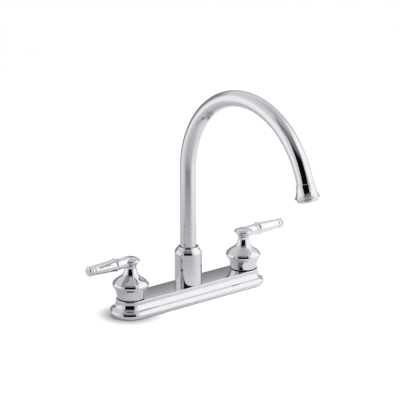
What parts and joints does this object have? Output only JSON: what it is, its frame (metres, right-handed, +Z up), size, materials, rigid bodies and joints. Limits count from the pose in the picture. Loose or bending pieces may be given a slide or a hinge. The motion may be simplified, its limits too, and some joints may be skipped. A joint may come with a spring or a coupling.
{
  "type": "kitchen faucet",
  "caption": "Deck mounted kitchen faucet: long plate with round ends, turned bell handles with straight levers, and a tall swivelling gooseneck spout, all in polished chrome.",
  "frame": {"origin": "on the deck plane, under the plate's centre, on the spout's swivel axis, midway between the two shanks", "axes": "+X along the plate from the hot handle to the cold handle, -Y to the front where the spout points at rest, +Z up"},
  "size_m": [0.3482, 0.2915, 0.3795],
  "materials": {
    "polished_chrome": "mirror polished plating on brass",
    "brass": "machined",
    "copper": "drawn copper tube, dull",
    "rubber": "smooth moulded",
    "ceramic": "lapped",
    "white_plastic": "moulded",
    "steel": "turned stainless steel"
  },
  "bodies": {
    "body": {"escutcheon_plate": "polished_chrome", "deck_gasket": "rubber", "spout_hub": "brass", "spout_sleeve": "polished_chrome", "lower_spout_washer": "white_plastic", "upper_spout_washer": "white_plastic", "hot_valve_body": "brass", "cold_valve_body": "brass", "hot_seat_seal": "rubber", "cold_seat_seal": "rubber", "hot_fixed_disc": "ceramic", "cold_fixed_disc": "ceramic", "hot_cartridge": "brass", "cold_cartridge": "brass", "hot_bonnet_nut": "brass", "cold_bonnet_nut": "brass", "hot_plate_nut": "brass", "cold_plate_nut": "brass", "hot_shank_washer": "steel", "cold_shank_washer": "steel", "hot_lock_nut": "brass", "cold_lock_nut": "brass", "hot_crossover_tube": "copper", "cold_crossover_tube": "copper"},
    "hot_handle": {"hot_moving_disc": "ceramic", "hot_stem": "brass", "hot_stem_ring": "rubber", "hot_stem_clip": "steel", "hot_handle_bell": "polished_chrome", "hot_lever": "polished_chrome", "hot_set_screw": "steel"},
    "cold_handle": {"cold_moving_disc": "ceramic", "cold_stem": "brass", "cold_stem_ring": "rubber", "cold_stem_clip": "steel", "cold_handle_bell": "polished_chrome", "cold_lever": "polished_chrome", "cold_set_screw": "steel"},
    "spout": {"spout_plug": "brass", "spout_rings": "rubber", "gooseneck_pipe": "polished_chrome", "outlet_housing": "polished_chrome", "outlet_ring": "polished_chrome", "outlet_insert": "white_plastic", "outlet_washer": "rubber"}
  },
  "joints": [
    {"name": "hot_handle_turn", "type": "hinge", "parent": "body", "child": "hot_handle", "pos_m": [-0.1016, 0, 0], "axis": [0, 0, 1], "range_deg": [0, 90]},
    {"name": "cold_handle_turn", "type": "hinge", "parent": "body", "child": "cold_handle", "pos_m": [0.1016, 0, 0], "axis": [0, 0, 1], "range_deg": [-90, 0]},
    {"name": "spout_swivel", "type": "hinge", "parent": "body", "child": "spout", "pos_m": [0, 0, 0], "axis": [0, 0, 1], "continuous": true}
  ]
}
